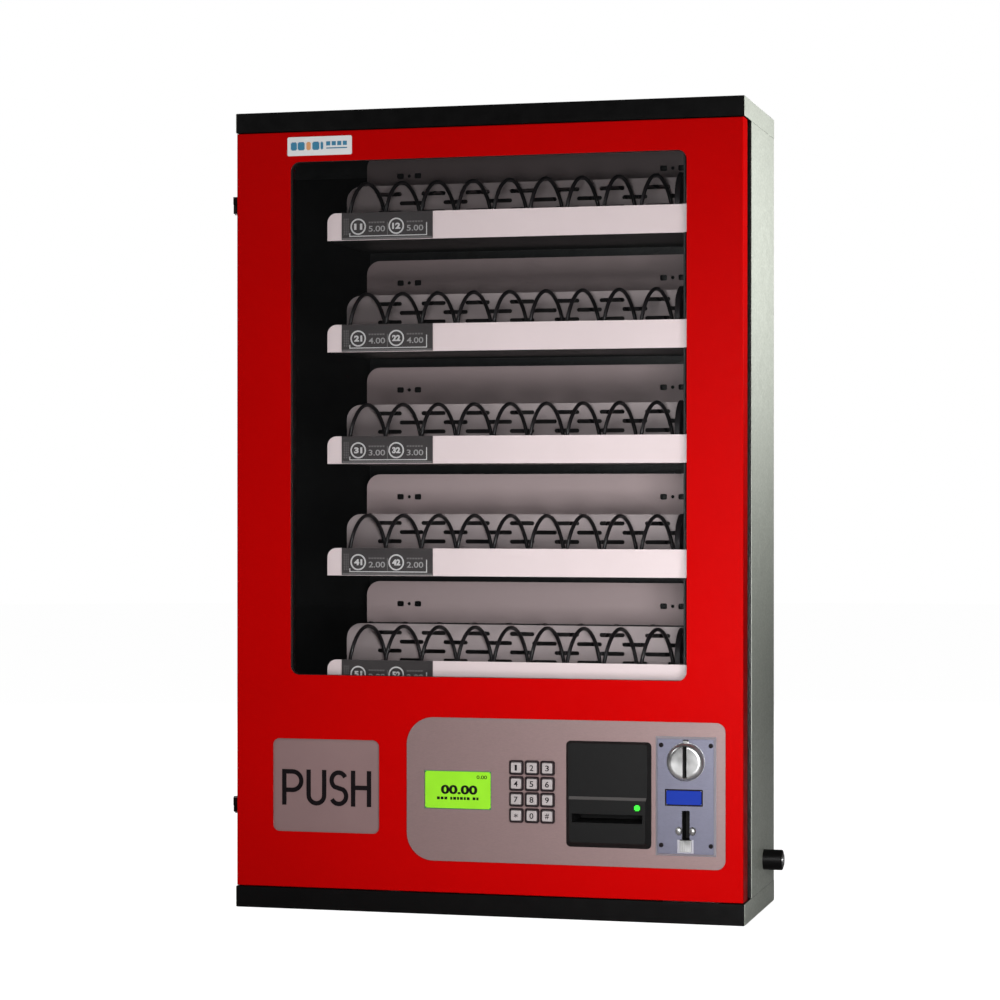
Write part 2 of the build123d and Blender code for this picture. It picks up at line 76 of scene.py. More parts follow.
# ---------------------------------------------------------------- materials
class Paint:
    """A Principled material in object coordinates, built up step by step."""

    def __init__(self, name, colour, roughness, metallic=0.0, coat=0.0, shine=0.5):
        self.mat = bpy.data.materials.new(name)
        self.mat.use_nodes = True
        self.tree = self.mat.node_tree
        self.shader = self.tree.nodes["Principled BSDF"]
        self.shader.inputs["Base Color"].default_value = (*colour, 1)
        self.shader.inputs["Roughness"].default_value = roughness
        self.shader.inputs["Metallic"].default_value = metallic
        self.shader.inputs["Coat Weight"].default_value = coat
        self.shader.inputs["Coat Roughness"].default_value = 0.12
        self.shader.inputs["Specular IOR Level"].default_value = shine
        self.colour = colour
        self.place = self.node("ShaderNodeTexCoord").outputs["Object"]
        self.normal = None

    def node(self, kind, **settings):
        made = self.tree.nodes.new(kind)
        for key, value in settings.items():
            setattr(made, key, value)
        return made

    def link(self, output, socket):
        self.tree.links.new(output, socket)

    def stretched(self, scale):
        """Object coordinates scaled along each axis."""
        mapping = self.node("ShaderNodeMapping")
        mapping.inputs["Scale"].default_value = scale
        self.link(self.place, mapping.inputs["Vector"])
        return mapping.outputs["Vector"]

    def noise(self, scale, stretch=(1, 1, 1), detail=4.0):
        made = self.node("ShaderNodeTexNoise")
        made.inputs["Scale"].default_value = scale
        made.inputs["Detail"].default_value = detail
        made.inputs["Roughness"].default_value = 0.55
        self.link(self.stretched(stretch), made.inputs["Vector"])
        return made.outputs["Fac"]

    def cells(self, scale):
        made = self.node("ShaderNodeTexVoronoi", feature="SMOOTH_F1")
        made.inputs["Scale"].default_value = scale
        made.inputs["Smoothness"].default_value = 0.6
        self.link(self.place, made.inputs["Vector"])
        return made.outputs["Distance"]

    def ramp(self, value, low, high):
        """Value spread from low to high over the middle of its range."""
        made = self.node("ShaderNodeMapRange")
        made.inputs["From Min"].default_value = 0.3
        made.inputs["From Max"].default_value = 0.7
        made.inputs["To Min"].default_value = low
        made.inputs["To Max"].default_value = high
        self.link(value, made.inputs["Value"])
        return made.outputs["Result"]

    def mix_colour(self, factor, first, second):
        """A colour mixed between two, each a colour or a socket."""
        made = self.node("ShaderNodeMix", data_type="RGBA")
        sockets = [s for s in made.inputs if s.type == "RGBA"]
        for socket, colour in zip(sockets, (first, second)):
            if isinstance(colour, tuple):
                socket.default_value = (*colour, 1)
            else:
                self.link(colour, socket)
        self.link(factor, made.inputs["Factor"])
        return [s for s in made.outputs if s.type == "RGBA"][0]

    def vary(self, value, spread):
        """Lightens and darkens the colour by a share of itself."""
        dark = tuple(c * (1 - spread) for c in self.colour)
        light = tuple(min(1.0, c * (1 + spread)) for c in self.colour)
        mixed = self.mix_colour(self.ramp(value, 0.0, 1.0), dark, light)
        self.base(mixed)
        return mixed

    def base(self, colour):
        self.link(colour, self.shader.inputs["Base Color"])

    def rough(self, value, low, high):
        self.link(self.ramp(value, low, high), self.shader.inputs["Roughness"])

    def bump(self, value, depth, strength=1.0):
        made = self.node("ShaderNodeBump")
        made.inputs["Strength"].default_value = strength
        made.inputs["Distance"].default_value = depth
        self.link(value, made.inputs["Height"])
        if self.normal is not None:
            self.link(self.normal, made.inputs["Normal"])
        self.normal = made.outputs["Normal"]
        self.link(self.normal, self.shader.inputs["Normal"])

    def axes(self):
        """The place split into its X, Y and Z."""
        split = self.node("ShaderNodeSeparateXYZ")
        self.link(self.place, split.inputs["Vector"])
        return split.outputs

    def compare(self, operation, value, limit):
        """1 where the value is on one side of a limit."""
        made = self.node("ShaderNodeMath", operation=operation)
        self.link(value, made.inputs[0])
        made.inputs[1].default_value = limit
        return made.outputs["Value"]

    def both(self, first, second):
        """1 where both masks are 1."""
        made = self.node("ShaderNodeMath", operation="MULTIPLY")
        self.link(first, made.inputs[0])
        self.link(second, made.inputs[1])
        return made.outputs["Value"]

    def inside(self, half_width, back):
        """1 inside the cabinet's walls, 0 on its outer faces."""
        place = self.axes()
        side = self.node("ShaderNodeMath", operation="ABSOLUTE")
        self.link(place["X"], side.inputs[0])
        within = self.compare("LESS_THAN", side.outputs["Value"], half_width)
        return self.both(within, self.compare("LESS_THAN", place["Y"], back))


def powder(name, colour, roughness, spread=0.05, shine=0.4):
    """Powder-coated or enamelled steel with a faint orange peel."""
    paint = Paint(name, colour, roughness, shine=shine)
    paint.vary(paint.noise(9), spread)
    paint.rough(paint.noise(60), roughness - 0.06, roughness + 0.08)
    paint.bump(paint.noise(420, detail=2), 0.00008)
    return paint.mat


def hammertone():
    """Grey-green hammered enamel outside, black inside the cabinet."""
    paint = Paint("hammertone", (0.56, 0.59, 0.52), 0.36, shine=0.4)
    cells = paint.cells(380)
    speckle = paint.mix_colour(paint.ramp(cells, 0.0, 1.0), (0.50, 0.53, 0.465),
                               (0.60, 0.63, 0.56))
    wall = highs("cabinet_shell").x - 0.5 * MM
    black = paint.inside(wall, -0.5 * MM)
    paint.base(paint.mix_colour(black, speckle, (0.006, 0.006, 0.0065)))
    paint.rough(paint.noise(90), 0.3, 0.45)
    paint.bump(cells, 0.0003, 0.7)
    paint.bump(paint.noise(700, detail=2), 0.00005)
    return paint.mat


# Painted shade: brightness of each shelf's back plate, standing in for the light that reaches it, the
# top one the dullest.
BACK_PLATE_SHADE = {1: 0.22, 2: 0.34, 3: 0.38, 4: 0.60, 5: 0.52}
BACK_PLATE_DEEP = 22 * MM
LIP_THICK = 1.8 * MM
DIVIDER_TALL = 66 * MM


def tray_paint(row):
    """White lip and floor top, with painted shade: a grey back plate, darker behind the divider and
    near black underneath.
    """
    tray_low = lows(f"tray_{row}")
    paint = Paint(f"tray_white_and_shade_{row}", (0.88, 0.72, 0.73), 0.42, shine=0.3)
    white = paint.vary(paint.noise(9), 0.02)
    place = paint.axes()
    back = paint.compare("GREATER_THAN", place["Y"], highs(f"tray_{row}").y - BACK_PLATE_DEEP)
    behind_lip = paint.compare("GREATER_THAN", place["Y"], tray_low.y + LIP_THICK)
    under = paint.compare("LESS_THAN", place["Z"], tray_low.z + 0.5 * MM)
    under_shade = paint.both(behind_lip, under)
    divider_back = middle("lane_dividers").y + 1 * MM
    behind_divider = paint.compare("GREATER_THAN", place["Y"], divider_back)
    low_down = paint.compare("LESS_THAN", place["Z"], tray_low.z + DIVIDER_TALL)
    plate = BACK_PLATE_SHADE[row]
    # Painted shade: the back plate's grey stands in for the light that reaches each shelf.
    grey = paint.mix_colour(back, white, (plate, 0.76 * plate, 0.77 * plate))
    # Painted shadow behind the divider, low down.
    shaded = paint.mix_colour(paint.both(behind_divider, low_down), grey, (0.045, 0.04, 0.04))
    # Painted shade under the tray, behind the lip.
    paint.base(paint.mix_colour(under_shade, shaded, (0.008, 0.008, 0.008)))
    paint.bump(paint.noise(420, detail=2), 0.00006)
    return paint.mat


def brushed(name, colour, roughness, stretch, metallic=0.9):
    """Metal with fine lines along one axis."""
    paint = Paint(name, colour, roughness, metallic=metallic)
    lines = paint.noise(300, stretch=stretch, detail=3)
    paint.vary(lines, 0.08)
    paint.rough(lines, roughness - 0.08, roughness + 0.1)
    paint.bump(lines, 0.00004)
    return paint.mat


def plastic(name, colour, roughness, grain=900, depth=0.00006, spread=0.06, shine=0.3):
    """Moulded plastic with a fine spark-eroded grain."""
    paint = Paint(name, colour, roughness, shine=shine)
    paint.vary(paint.noise(14), spread)
    paint.rough(paint.noise(120), roughness - 0.05, roughness + 0.1)
    paint.bump(paint.noise(grain, detail=2), depth)
    return paint.mat


def lit(name, colour, strength):
    """A lit surface: the display, a status light."""
    paint = Paint(name, colour, 0.3)
    glow = paint.vary(paint.noise(40), 0.04)
    paint.link(glow, paint.shader.inputs["Emission Color"])
    paint.shader.inputs["Emission Strength"].default_value = strength
    return paint.mat


def pane():
    """Clear glass that lets light through and mirrors more at a slant."""
    mat = bpy.data.materials.new("window_pane")
    mat.use_nodes = True
    tree = mat.node_tree
    tree.nodes.clear()
    clear = tree.nodes.new("ShaderNodeBsdfTransparent")
    clear.inputs["Color"].default_value = (0.97, 0.98, 0.98, 1)
    gloss = tree.nodes.new("ShaderNodeBsdfGlossy")
    gloss.inputs["Color"].default_value = (0.95, 0.97, 1.0, 1)
    gloss.inputs["Roughness"].default_value = 0.03
    facing = tree.nodes.new("ShaderNodeLayerWeight")
    facing.inputs["Blend"].default_value = 0.5
    slant = tree.nodes.new("ShaderNodeMath")
    slant.operation = "POWER"
    slant.inputs[1].default_value = 5
    mirror = tree.nodes.new("ShaderNodeMapRange")
    mirror.inputs["To Min"].default_value = 0.035
    mirror.inputs["To Max"].default_value = 1.0
    mix = tree.nodes.new("ShaderNodeMixShader")
    out = tree.nodes.new("ShaderNodeOutputMaterial")
    tree.links.new(facing.outputs["Facing"], slant.inputs[0])
    tree.links.new(slant.outputs["Value"], mirror.inputs["Value"])
    tree.links.new(mirror.outputs["Result"], mix.inputs["Fac"])
    tree.links.new(clear.outputs["BSDF"], mix.inputs[1])
    tree.links.new(gloss.outputs["BSDF"], mix.inputs[2])
    tree.links.new(mix.outputs["Shader"], out.inputs["Surface"])
    return mat


def knob_metal():
    """Cast metal, polished by hand, with broad soft mottling."""
    paint = Paint("knob_chrome", (0.42, 0.42, 0.42), 0.32, metallic=0.9)
    mottle = paint.noise(55, detail=2)
    paint.vary(mottle, 0.25)
    paint.rough(mottle, 0.26, 0.40)
    paint.bump(mottle, 0.00012)
    return paint.mat


def coin_metal():
    """Satin blue-grey plate with a painted highlight on its bevels."""
    paint = Paint("coin_satin", (0.155, 0.155, 0.21), 0.4, metallic=0.5)
    lines = paint.noise(300, stretch=(1, 1, 7), detail=3)
    satin = paint.vary(lines, 0.08)
    face = lows("coin_plate").y
    # Painted highlight: the bevels are coloured lighter, standing in for light catching them.
    bevel = paint.compare("GREATER_THAN", paint.axes()["Y"], face + 0.2 * MM)
    paint.base(paint.mix_colour(bevel, satin, (0.42, 0.41, 0.46)))
    paint.rough(lines, 0.32, 0.5)
    paint.bump(lines, 0.00004)
    return paint.mat


def circuit():
    """Green solder mask with faint copper tracks under it."""
    paint = Paint("circuit_board", (0.02, 0.16, 0.06), 0.35, coat=0.4)
    grid = paint.node("ShaderNodeTexBrick")
    grid.inputs["Scale"].default_value = 60
    grid.inputs["Mortar Size"].default_value = 0.06
    grid.inputs["Color1"].default_value = (0.02, 0.17, 0.06, 1)
    grid.inputs["Color2"].default_value = (0.015, 0.13, 0.05, 1)
    grid.inputs["Mortar"].default_value = (0.05, 0.27, 0.09, 1)
    swing = paint.node("ShaderNodeMapping")
    swing.inputs["Rotation"].default_value = (math.pi / 2, 0, 0)
    paint.link(paint.place, swing.inputs["Vector"])
    paint.link(swing.outputs["Vector"], grid.inputs["Vector"])
    paint.base(grid.outputs["Color"])
    paint.bump(grid.outputs["Fac"], 0.00003)
    return paint.mat


GEARBOX_LONG = 28.2 * MM


def motor_finish():
    """Cream gearbox and a zinc-plated motor can behind it."""
    paint = Paint("gear_motor", (0.72, 0.70, 0.62), 0.42)
    gearbox_end = lows("spiral_motors").x + GEARBOX_LONG
    can = paint.compare("GREATER_THAN", paint.axes()["X"], gearbox_end)
    cream = paint.vary(paint.noise(30), 0.05)
    paint.base(paint.mix_colour(can, cream, (0.55, 0.56, 0.58)))
    paint.link(can, paint.shader.inputs["Metallic"])
    paint.bump(paint.noise(500, detail=2), 0.00004)
    return paint.mat


RED = powder("red_enamel", (0.46, 0.0009, 0.0011), 0.36, spread=0.02, shine=0.015)
BLACK = powder("black_enamel", (0.0034, 0.0033, 0.0034), 0.36, spread=0.15, shine=0.1)
WHITE = powder("shelf_white", (0.88, 0.72, 0.73), 0.42, spread=0.03)
DARK_PAINT = powder("dark_grey_paint", (0.035, 0.033, 0.035), 0.45, spread=0.08, shine=0.2)
DIVIDER = powder("divider_grey", (0.44, 0.36, 0.365), 0.40, spread=0.04)
HAMMER = hammertone()
PANEL = brushed("panel_satin", (0.245, 0.165, 0.163), 0.46, (1, 1, 9), metallic=0.25)
FLAP = powder("flap_satin", (0.225, 0.145, 0.144), 0.45, shine=0.25)
COIN = coin_metal()
CHROME = knob_metal()
STEEL = brushed("zinc_steel", (0.56, 0.57, 0.58), 0.38, (1, 8, 1))
WIRE = powder("coil_coat", (0.010, 0.008, 0.009), 0.34, spread=0.15, shine=0.25)
MOULD = plastic("black_mould", (0.008, 0.008, 0.008), 0.5, shine=0.12)
# Painted highlight: lighter black mould for the strip on the bezel's ledge, standing in for light
# catching it.
LEDGE_HIGHLIGHT = plastic("black_mould_highlight", (0.075, 0.07, 0.068), 0.45, shine=0.3)
COLLAR = plastic("key_collar", (0.020, 0.013, 0.015), 0.42, shine=0.15)
CAP = plastic("key_cap", (0.40, 0.36, 0.36), 0.34, depth=0.00003)
LABEL = plastic("label_strip", (0.055, 0.047, 0.048), 0.38, grain=1500, depth=0.00002)
RUBBER = plastic("seal_rubber", (0.012, 0.012, 0.012), 0.7, grain=300, depth=0.0001)
DARK = plastic("ink_dark", (0.006, 0.004, 0.005), 0.5, grain=1500, depth=0.00001, shine=0.1)
PALE = plastic("ink_pale", (0.66, 0.63, 0.63), 0.5, grain=1500, depth=0.00001)
SOFT = plastic("ink_soft", (0.36, 0.34, 0.34), 0.5, grain=1500, depth=0.00001)
FAINT = plastic("ink_faint", (0.17, 0.155, 0.155), 0.5, grain=1500, depth=0.00001)
PLATE = plastic("badge_white", (0.80, 0.80, 0.80), 0.3, grain=1500, depth=0.00001, spread=0.02)
TEAL = plastic("badge_teal", (0.05, 0.22, 0.36), 0.35, grain=1500, depth=0.00001)
SAND = plastic("badge_sand", (0.75, 0.36, 0.16), 0.35, grain=1500, depth=0.00001)
BLUE = plastic("blue_lens", (0.012, 0.035, 0.30), 0.12, grain=200, depth=0.00001)
LIME = lit("display_lime", (0.22, 0.56, 0.015), 0.35)
GREEN = lit("status_green", (0.03, 0.62, 0.03), 0.8)
BRASS = brushed("pin_brass", (0.72, 0.55, 0.25), 0.3, (1, 1, 1))
GLASS = pane()
BOARD = circuit()
MOTOR = motor_finish()

FINISH = {
    "cabinet_shell": HAMMER, "top_cap": BLACK, "base_cap": BLACK, "front_frame": BLACK,
    "motor_panel": DARK_PAINT, "spiral_motors": MOTOR, "lane_dividers": DIVIDER,
    "price_labels": LABEL, "drop_chute": BLACK, "delivery_bin": MOULD, "coin_box": STEEL,
    "controller_board": BOARD,
    "power_supply": STEEL, "power_inlet": MOULD, "hinge_leaves_cabinet": BLACK,
    "hinge_leaves_door": BLACK, "hinge_pins": STEEL, "lock_barrel": BLACK, "lock_plug": CHROME,
    "lock_cam": STEEL, "lock_strike": STEEL, "door_shell": RED, "window_gasket": RUBBER,
    "window_glass": GLASS, "control_panel": PANEL, "lcd_module": BOARD, "key_bezels": COLLAR,
    "bill_bezel": MOULD, "bill_validator": MOULD, "coin_plate": COIN, "coin_validator": MOULD,
    "coin_button": CHROME, "push_flap": FLAP,
}
FINISH.update({f"tray_{row}": tray_paint(row) for row in ROWS})
FINISH.update({f"key_{name}": CAP for name in KEY_NAMES})
FINISH.update({f"spiral_{row}{lane}": WIRE for row in ROWS for lane in LANES})
for node_name, finish in FINISH.items():
    mesh = NODES[node_name].data
    mesh.materials.clear()
    mesh.materials.append(finish)


# ---------------------------------------------------------------- mesh pieces
def piece(name, mesh, body, finish, smooth_angle=35):
    """A finished mesh that rides on a body."""
    made = bpy.data.objects.new(name, mesh)
    bpy.context.scene.collection.objects.link(made)
    mesh.materials.append(finish)
    mesh.polygons.foreach_set("use_smooth", [True] * len(mesh.polygons))
    mesh.set_sharp_from_angle(angle=math.radians(smooth_angle))
    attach(made, body)
    return made


def from_bmesh(name, bm):
    """Mesh data from a bmesh, with its normals outward."""
    bmesh.ops.remove_doubles(bm, verts=bm.verts, dist=1e-7)
    bmesh.ops.recalc_face_normals(bm, faces=bm.faces)
    mesh = bpy.data.meshes.new(name)
    bm.to_mesh(mesh)
    bm.free()
    return mesh


def finished(name, bm, body, finish, smooth_angle=35):
    """A piece made straight from a bmesh."""
    return piece(name, from_bmesh(name, bm), body, finish, smooth_angle)


def slab(bm, x, y, z, bevel=0.0, corner=0.0):
    """Adds a box from ranges along the axes, its front corners rounded or its edges softened."""
    made = bmesh.ops.create_cube(bm, size=1)["verts"]
    for vert in made:
        vert.co = Vector((
            x[0] + (vert.co.x + 0.5) * (x[1] - x[0]),
            y[0] + (vert.co.y + 0.5) * (y[1] - y[0]),
            z[0] + (vert.co.z + 0.5) * (z[1] - z[0])))
    edges = {edge for vert in made for edge in vert.link_edges}
    if corner:
        along_y = [e for e in edges if abs(e.verts[0].co.y - e.verts[1].co.y) > 1e-6]
        bmesh.ops.bevel(bm, geom=along_y, offset=corner, segments=6, affect="EDGES")
    elif bevel:
        bmesh.ops.bevel(bm, geom=list(edges), offset=bevel, segments=2, affect="EDGES")


def turned(bm, profile, centre, axis="Y", sides=32, sign=-1):
    """Adds a shape turned round an axis; the profile is (radius, distance along sign * axis)."""
    rings = []
    for radius, along in profile:
        ring = []
        for k in range(sides if radius > 1e-9 else 1):
            angle = TAU * k / sides
            flat = (radius * math.cos(angle), radius * math.sin(angle))
            if axis == "Y":
                offset = Vector((flat[0], sign * along, flat[1]))
            elif axis == "X":
                offset = Vector((sign * along, flat[0], flat[1]))
            else:
                offset = Vector((flat[0], flat[1], sign * along))
            ring.append(bm.verts.new(Vector(centre) + offset))
        rings.append(ring)
    for first, second in zip(rings, rings[1:]):
        count = max(len(first), len(second))
        for k in range(count):
            n = (k + 1) % count
            corners = (first[k % len(first)], first[n % len(first)],
                       second[n % len(second)], second[k % len(second)])
            unique = []
            for corner in corners:
                if corner not in unique:
                    unique.append(corner)
            if len(unique) > 2:
                bm.faces.new(unique)


def tube(bm, points, radius, sides=12):
    """Adds a round tube through points, capped at both ends."""
    rings = []
    for k, point in enumerate(points):
        ahead = points[min(k + 1, len(points) - 1)] - points[max(k - 1, 0)]
        ahead.normalize()
        side = ahead.cross(Vector((1, 0, 0))).normalized()
        up = ahead.cross(side).normalized()
        ring = []
        for n in range(sides):
            angle = TAU * n / sides
            outward = math.cos(angle) * side + math.sin(angle) * up
            ring.append(bm.verts.new(point + radius * outward))
        rings.append(ring)
    for first, second in zip(rings, rings[1:]):
        for n in range(sides):
            m = (n + 1) % sides
            bm.faces.new((first[n], first[m], second[m], second[n]))
    bm.faces.new(rings[0])
    bm.faces.new(list(reversed(rings[-1])))


HALF_EXTRUDE = 0.01


def lettering(name, text, centre, wide, tall, body, finish, raised=0.15 * MM, bold=0.012):
    """Generic characters as thin raised print, fitted to a width and a height."""
    curve = bpy.data.curves.new(name + "_curve", "FONT")
    curve.body = text
    curve.align_x = "CENTER"
    curve.align_y = "CENTER"
    curve.extrude = HALF_EXTRUDE
    curve.resolution_u = 6
    curve.offset = bold
    source = bpy.data.objects.new(name + "_source", curve)
    bpy.context.scene.collection.objects.link(source)
    bpy.context.view_layer.update()
    depsgraph = bpy.context.evaluated_depsgraph_get()
    mesh = bpy.data.meshes.new_from_object(source.evaluated_get(depsgraph))
    bpy.data.objects.remove(source)
    bpy.data.curves.remove(curve)
    mesh.materials.clear()
    xs = [v.co.x for v in mesh.vertices]
    ys = [v.co.y for v in mesh.vertices]
    scale_x = wide / (max(xs) - min(xs))
    scale_z = tall / (max(ys) - min(ys))
    mid_x = (max(xs) + min(xs)) / 2
    mid_y = (max(ys) + min(ys)) / 2
    for v in mesh.vertices:
        depth = raised * (0.5 + v.co.z / (2 * HALF_EXTRUDE))
        offset = Vector(((v.co.x - mid_x) * scale_x, -depth, (v.co.y - mid_y) * scale_z))
        v.co = Vector(centre) + offset
    mesh.update()
    return piece(name, mesh, body, finish)


def ribbon(bm, points, wide, face_y, raised):
    """Adds a flat raised stroke of even width through points (x, z)."""
    half = wide / 2
    rails = []
    last = len(points) - 1
    for k, point in enumerate(points):
        here = Vector(point)
        before = (here - Vector(points[k - 1])).normalized() if k else None
        after = (Vector(points[k + 1]) - here).normalized() if k < last else None
        ahead = (before + after).normalized() if before and after else (before or after)
        side = Vector((-ahead.y, ahead.x))
        reach = half
        if before and after:
            reach = half / max(0.5, side.dot(Vector((-before.y, before.x))))
        rails.append((here + side * reach, here - side * reach))
    back = [[bm.verts.new((p.x, face_y, p.y)) for p in pair] for pair in rails]
    front = [[bm.verts.new((p.x, face_y - raised, p.y)) for p in pair] for pair in rails]
    for k in range(last):
        bm.faces.new((front[k][0], front[k + 1][0], front[k + 1][1], front[k][1]))
        bm.faces.new((back[k][1], back[k + 1][1], back[k + 1][0], back[k][0]))
        for side in (0, 1):
            bm.faces.new((front[k][side], back[k][side], back[k + 1][side], front[k + 1][side]))
    for k in (0, last):
        bm.faces.new((front[k][0], front[k][1], back[k][1], back[k][0]))


def bow(centre, reach_x, reach_z, start, end, steps=14):
    """Points along part of an ellipse, angles in degrees from +X towards +Z."""
    angles = [math.radians(start + (end - start) * k / steps) for k in range(steps + 1)]
    return [(centre[0] + reach_x * math.cos(a), centre[1] + reach_z * math.sin(a)) for a in angles]


def pan_screw(bm, centre, axis="Y", sign=-1, radius=2.2 * MM, height=1.3 * MM):
    """Adds a domed screw head with a sunk socket."""
    r = radius
    h = height
    profile = [(r, 0), (r, 0.35 * h), (0.9 * r, 0.75 * h), (0.66 * r, h), (0.44 * r, h),
               (0.4 * r, 0.4 * h), (0, 0.4 * h)]
    turned(bm, profile, centre, axis=axis, sides=20, sign=sign)


# ---------------------------------------------------------------- spirals
WIRE_RADIUS = 2.15 * MM
WIRE_GAP = 0.3 * MM
SPIRAL_PITCH = 41.3 * MM
STEPS_PER_TURN = 40
HUB_TO_PANEL = 11 * MM


def hub_profile(rim, shaft_end):
    """Disc with a raised rim, its boss and the drive shaft, as (radius, distance) pairs."""
    return [(0, 0), (8 * MM, 0), (9 * MM, 1 * MM), (rim - 7 * MM, 1 * MM), (rim - 6 * MM, 0),
            (rim - 0.6 * MM, 0), (rim, 0.6 * MM), (rim, 5.4 * MM), (rim - 0.6 * MM, 6 * MM),
            (14 * MM, 6 * MM), (14 * MM, 8.6 * MM), (13.5 * MM, 9 * MM), (4 * MM, 9 * MM),
            (4 * MM, shaft_end - 0.5 * MM), (3.5 * MM, shaft_end), (0, shaft_end)]


def smooth_spiral(row, lane):
    """Round wire, hub disc, boss and shaft in place of the CAD spiral's few-sided wire."""
    node = f"spiral_{row}{lane}"
    low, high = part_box(node)
    centre = middle(node)
    hub_radius = (high.z - low.z) / 2
    coil = hub_radius - WIRE_RADIUS - WIRE_GAP
    hub_x = lows("motor_panel").x - HUB_TO_PANEL
    start_x = low.x + WIRE_RADIUS
    turns = (hub_x + 3 * MM - start_x) / SPIRAL_PITCH
    phase = math.pi if lane == 1 else 0.0
    points = []
    for k in range(int(turns * STEPS_PER_TURN) + 1):
        angle = TAU * k / STEPS_PER_TURN + phase
        x = start_x + SPIRAL_PITCH * k / STEPS_PER_TURN
        points.append(Vector((x, centre.y + coil * math.sin(angle), centre.z + coil * math.cos(angle))))
    bm = bmesh.new()
    tube(bm, points, WIRE_RADIUS)
    turned(bm, hub_profile(hub_radius, high.x - hub_x), (hub_x, centre.y, centre.z), axis="X",
           sides=48, sign=1)
    made = finished(node + "_smooth", bm, node, WIRE)
    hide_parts(node)


def product_pushers():
    """A spiral for each lane of each shelf."""
    for row in ROWS:
        for lane in LANES:
            smooth_spiral(row, lane)


# ---------------------------------------------------------------- price strips
PRICES = ("5.00", "4.00", "3.00", "2.00", "2.00")
PRINT_RISE = 0.15 * MM
RING_OUTER = 9.0 * MM
RING_INNER = 7.4 * MM
RING_RISE = 0.25 * MM
# Millimetres from a strip's left end and from its foot, as x range and z range.
BORDER_LINES = (((9, 98.6), (3.4, 4.4)), ((97.6, 98.6), (4.4, 17.5)), ((9, 10), (4.4, 7.5)))
FAINT_LINES = (((52.6, 53.4), (4.7, 19)), ((0.5, 104.5), (0.4, 2.2)))
RING_FROM_LEFT = (19.2, 63.2)
RING_UP = 14.4
PRICE_FROM_RING = 21.6


def price_ring(bm, x, y, z):
    """Adds a thin ring round a selection number."""
    profile = [(RING_INNER, 0), (RING_OUTER, 0), (RING_OUTER, RING_RISE), (RING_INNER, RING_RISE),
               (RING_INNER, 0)]
    turned(bm, profile, (x, y, z), sides=40)


def price_strips():
    """Numbers in rings, prices and a printed border on the label strips."""
    strip = lows("price_labels")
    bright = bmesh.new()
    faint = bmesh.new()
    for row in ROWS:
        foot = lows(f"tray_{row}").z + 0.5 * MM

        def mark(bm, x, z):
            slab(bm, mm(*x, strip.x), (strip.y - PRINT_RISE, strip.y), mm(*z, foot))

        for x, z in BORDER_LINES:
            mark(bright, x, z)
        for x, z in FAINT_LINES:
            mark(faint, x, z)
        for column in range(3):
            for dash in range(7):
                x = 2.6 + 2.2 * column
                z = 5.6 + 2.7 * dash
                mark(faint, (x, x + 0.9), (z, z + 1.9))
        ring_z = foot + RING_UP * MM
        for lane, from_left in zip(LANES, RING_FROM_LEFT):
            number = f"{row}{lane}"
            ring_at = (strip.x + from_left * MM, strip.y, ring_z)
            price_ring(bright, *ring_at)
            lettering(f"number_{number}", number, ring_at, 9.4 * MM, 6.8 * MM, "cabinet",
                      PALE, bold=0.05)
            price_mm = from_left + PRICE_FROM_RING
            price_at = (strip.x + price_mm * MM, strip.y, ring_z - 2.6 * MM)
            lettering(f"price_{number}", PRICES[row - 1], price_at, 19 * MM, 6.4 * MM, "cabinet",
                      SOFT)
            for dash in range(6):
                x = price_mm - 9.5 + 3.2 * dash
                mark(faint, (x, x + 2.3), (RING_UP + 3.6, RING_UP + 5.3))
    finished("price_rings", bright, "cabinet", PALE)
    finished("price_print", faint, "cabinet", FAINT)


# ---------------------------------------------------------------- control panel
WORD_LEFT = -231.8 * MM
WORD_FOOT = -325.6 * MM
WORD_TALL = 39.5 * MM
STROKE = 5.0 * MM
STROKE_RISE = 0.3 * MM
# Crossing strokes stand a little prouder, so that their faces don't coincide.
CROSSING_LIFT = 0.02 * MM


def push_word():
    """The word on the flap, as thin upright strokes."""
    face_y = lows("push_flap").y
    foot = WORD_FOOT
    head = foot + WORD_TALL
    half = STROKE / 2
    left = WORD_LEFT + half
    bm = bmesh.new()

    def stroke(points, lift=0.0):
        ribbon(bm, points, STROKE, face_y, STROKE_RISE + lift)

    def upright(x):
        stroke([(x, foot), (x, head)])

    # P
    bowl = 10.2 * MM
    bowl_z = head - half - bowl
    upright(left)
    stroke([(left, head - half)] + bow((left + 9.6 * MM, bowl_z), bowl, bowl, 90, -90)
           + [(left, bowl_z - bowl)], CROSSING_LIFT)
    # U
    x = left + 28.3 * MM
    bend = 9.0 * MM
    stroke([(x, head)] + bow((x + bend, foot + half + bend), bend, bend, 180, 360)
           + [(x + 2 * bend, head)])
    # S
    x = left + 63.1 * MM
    bend = 8.7 * MM
    stroke(bow((x, head - half - bend), 8.2 * MM, bend, 25, 235)
           + bow((x, foot + half + bend), 8.6 * MM, bend, 55, -155))
    # H
    x = left + 79.7 * MM
    far_x = x + 18.3 * MM
    bar_z = (foot + head) / 2 + 1 * MM
    upright(x)
    upright(far_x)
    stroke([(x, bar_z), (far_x, bar_z)], CROSSING_LIFT)
    finished("flap_word", bm, "flap", DARK)


def key_legends():
    """Digits on the keys."""
    shown = {"star": "*", "hash": "#"}
    for name in KEY_NAMES:
        node = f"key_{name}"
        centre = middle(node)
        face = (centre.x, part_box(node)[0].y, centre.z)
        wide = 2.4 * MM if name == "1" else 4.3 * MM
        tall = 4.2 * MM if name == "star" else 6.2 * MM
        lettering(f"legend_{name}", shown.get(name, name), face, wide, tall, node, DARK,
                  raised=0.12 * MM)


SCREEN_X = mm(-66.2, 7.4)
SCREEN_Z = mm(-323.8, -283.8)
SCREEN_RISE = 0.3 * MM
